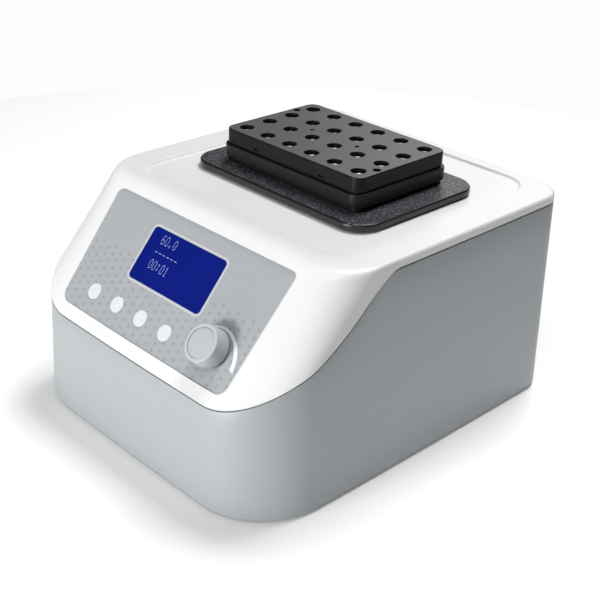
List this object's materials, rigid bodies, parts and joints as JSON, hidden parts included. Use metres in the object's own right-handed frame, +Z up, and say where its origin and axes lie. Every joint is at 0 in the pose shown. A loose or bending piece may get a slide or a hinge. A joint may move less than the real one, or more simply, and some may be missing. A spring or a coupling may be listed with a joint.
{
  "type": "thermal mixer",
  "caption": "Bench thermal mixer: heated tube block on an orbiting table over a two-part case with sloped control panel, display, keys and knob.",
  "frame": {"origin": "middle of the case in plan, on the surface that the rubber feet stand on", "axes": "+X to the user's right, +Y to the rear of the case, +Z up; the control panel faces -Y"},
  "size_m": [0.197, 0.232, 0.143],
  "materials": {
    "housing": "silver-grey paint on a moulding",
    "cover": "white, low gloss",
    "sheet_steel": "plated sheet",
    "rubber": "moulded",
    "steel": "machined",
    "panel": "printed film",
    "display": "clear window over a blue display",
    "dark_plastic": "moulded",
    "circuit_board": "green solder mask",
    "key": "white, smooth",
    "knob": "silver, satin",
    "knob_face": "silver, satin",
    "motor": "black paint",
    "bronze": "machined",
    "bare_aluminium": "milled",
    "tray": "black, fine speckled texture",
    "insulation": "foam",
    "heater_film": "film",
    "black_aluminium": "black anodised",
    "collar": "black, satin",
    "black_plastic": "moulded",
    "contact": "plated",
    "rocker": "black, smooth"
  },
  "bodies": {
    "case": {"lower_housing": "housing", "top_cover": "cover", "base_plate": "sheet_steel", "rubber_feet": "rubber", "base_screws": "steel", "cover_screws": "steel", "control_panel": "panel", "display_window": "display", "display_module": "dark_plastic", "control_board": "circuit_board", "board_screws": "steel", "key_switches": "dark_plastic", "encoder_body": "dark_plastic", "encoder_nut": "steel", "deck": "sheet_steel", "deck_pillars": "steel", "motor": "motor", "motor_screws": "steel", "deck_bushings": "bronze", "power_supply": "sheet_steel", "mains_inlet": "black_plastic", "inlet_contacts": "contact", "switch_frame": "black_plastic"},
    "key_1": {"key_1": "key"},
    "key_2": {"key_2": "key"},
    "key_3": {"key_3": "key"},
    "key_4": {"key_4": "key"},
    "plunger": {"encoder_plunger": "key"},
    "knob": {"encoder_spindle": "steel", "knob": "knob", "knob_cap": "knob_face"},
    "drive": {"motor_shaft": "steel", "drive_crank": "bare_aluminium", "counterweight": "bronze", "crank_screw": "steel"},
    "guide_left": {"guide_crank_left": "steel"},
    "guide_right": {"guide_crank_right": "steel"},
    "stage": {"orbit_table": "bare_aluminium", "table_bearing": "steel", "guide_bearings": "steel", "tray": "tray", "tray_screws": "steel", "insulation_pad": "insulation", "heater_film": "heater_film", "heater_plate": "bare_aluminium", "temperature_sensor": "steel", "tube_block": "black_aluminium", "block_collar": "collar", "block_screws": "steel"},
    "rocker": {"power_rocker": "rocker"}
  },
  "joints": [
    {"name": "key_1_press", "type": "slide", "parent": "case", "child": "key_1", "axis": [0, 0.7615, -0.6481], "range_m": [0, 0.0005], "stiffness_N_per_m": 900, "springref_m": -0.0005},
    {"name": "key_2_press", "type": "slide", "parent": "case", "child": "key_2", "axis": [0, 0.7615, -0.6481], "range_m": [0, 0.0005], "stiffness_N_per_m": 900, "springref_m": -0.0005},
    {"name": "key_3_press", "type": "slide", "parent": "case", "child": "key_3", "axis": [0, 0.7615, -0.6481], "range_m": [0, 0.0005], "stiffness_N_per_m": 900, "springref_m": -0.0005},
    {"name": "key_4_press", "type": "slide", "parent": "case", "child": "key_4", "axis": [0, 0.7615, -0.6481], "range_m": [0, 0.0005], "stiffness_N_per_m": 900, "springref_m": -0.0005},
    {"name": "knob_push", "type": "slide", "parent": "case", "child": "plunger", "axis": [0, 0.7615, -0.6481], "range_m": [0, 0.0005], "stiffness_N_per_m": 2500, "springref_m": -0.0005},
    {"name": "knob_turn", "type": "hinge", "parent": "plunger", "child": "knob", "pos_m": [0.0468, -0.09799, 0.07792], "axis": [0, -0.7615, 0.6481], "continuous": true},
    {"name": "drive_spin", "type": "hinge", "parent": "case", "child": "drive", "pos_m": [0, 0.0251, 0.08], "axis": [0, 0, 1], "continuous": true},
    {"name": "stage_orbit", "type": "hinge", "parent": "drive", "child": "stage", "pos_m": [0, 0.0266, 0.088], "axis": [0, 0, 1], "continuous": true},
    {"name": "guide_left_spin", "type": "hinge", "parent": "case", "child": "guide_left", "pos_m": [-0.062, 0.0251, 0.08], "axis": [0, 0, 1], "continuous": true},
    {"name": "guide_right_spin", "type": "hinge", "parent": "case", "child": "guide_right", "pos_m": [0.062, 0.0251, 0.08], "axis": [0, 0, 1], "continuous": true},
    {"name": "rocker_press", "type": "hinge", "parent": "case", "child": "rocker", "pos_m": [0.025, 0.1126, 0.034], "axis": [1, 0, 0], "range_deg": [0, 16]}
  ],
  "couplings": [
    {"joint": "stage_orbit", "follows": "drive_spin", "ratio": -1},
    {"joint": "guide_left_spin", "follows": "drive_spin", "ratio": 1},
    {"joint": "guide_right_spin", "follows": "drive_spin", "ratio": 1}
  ]
}
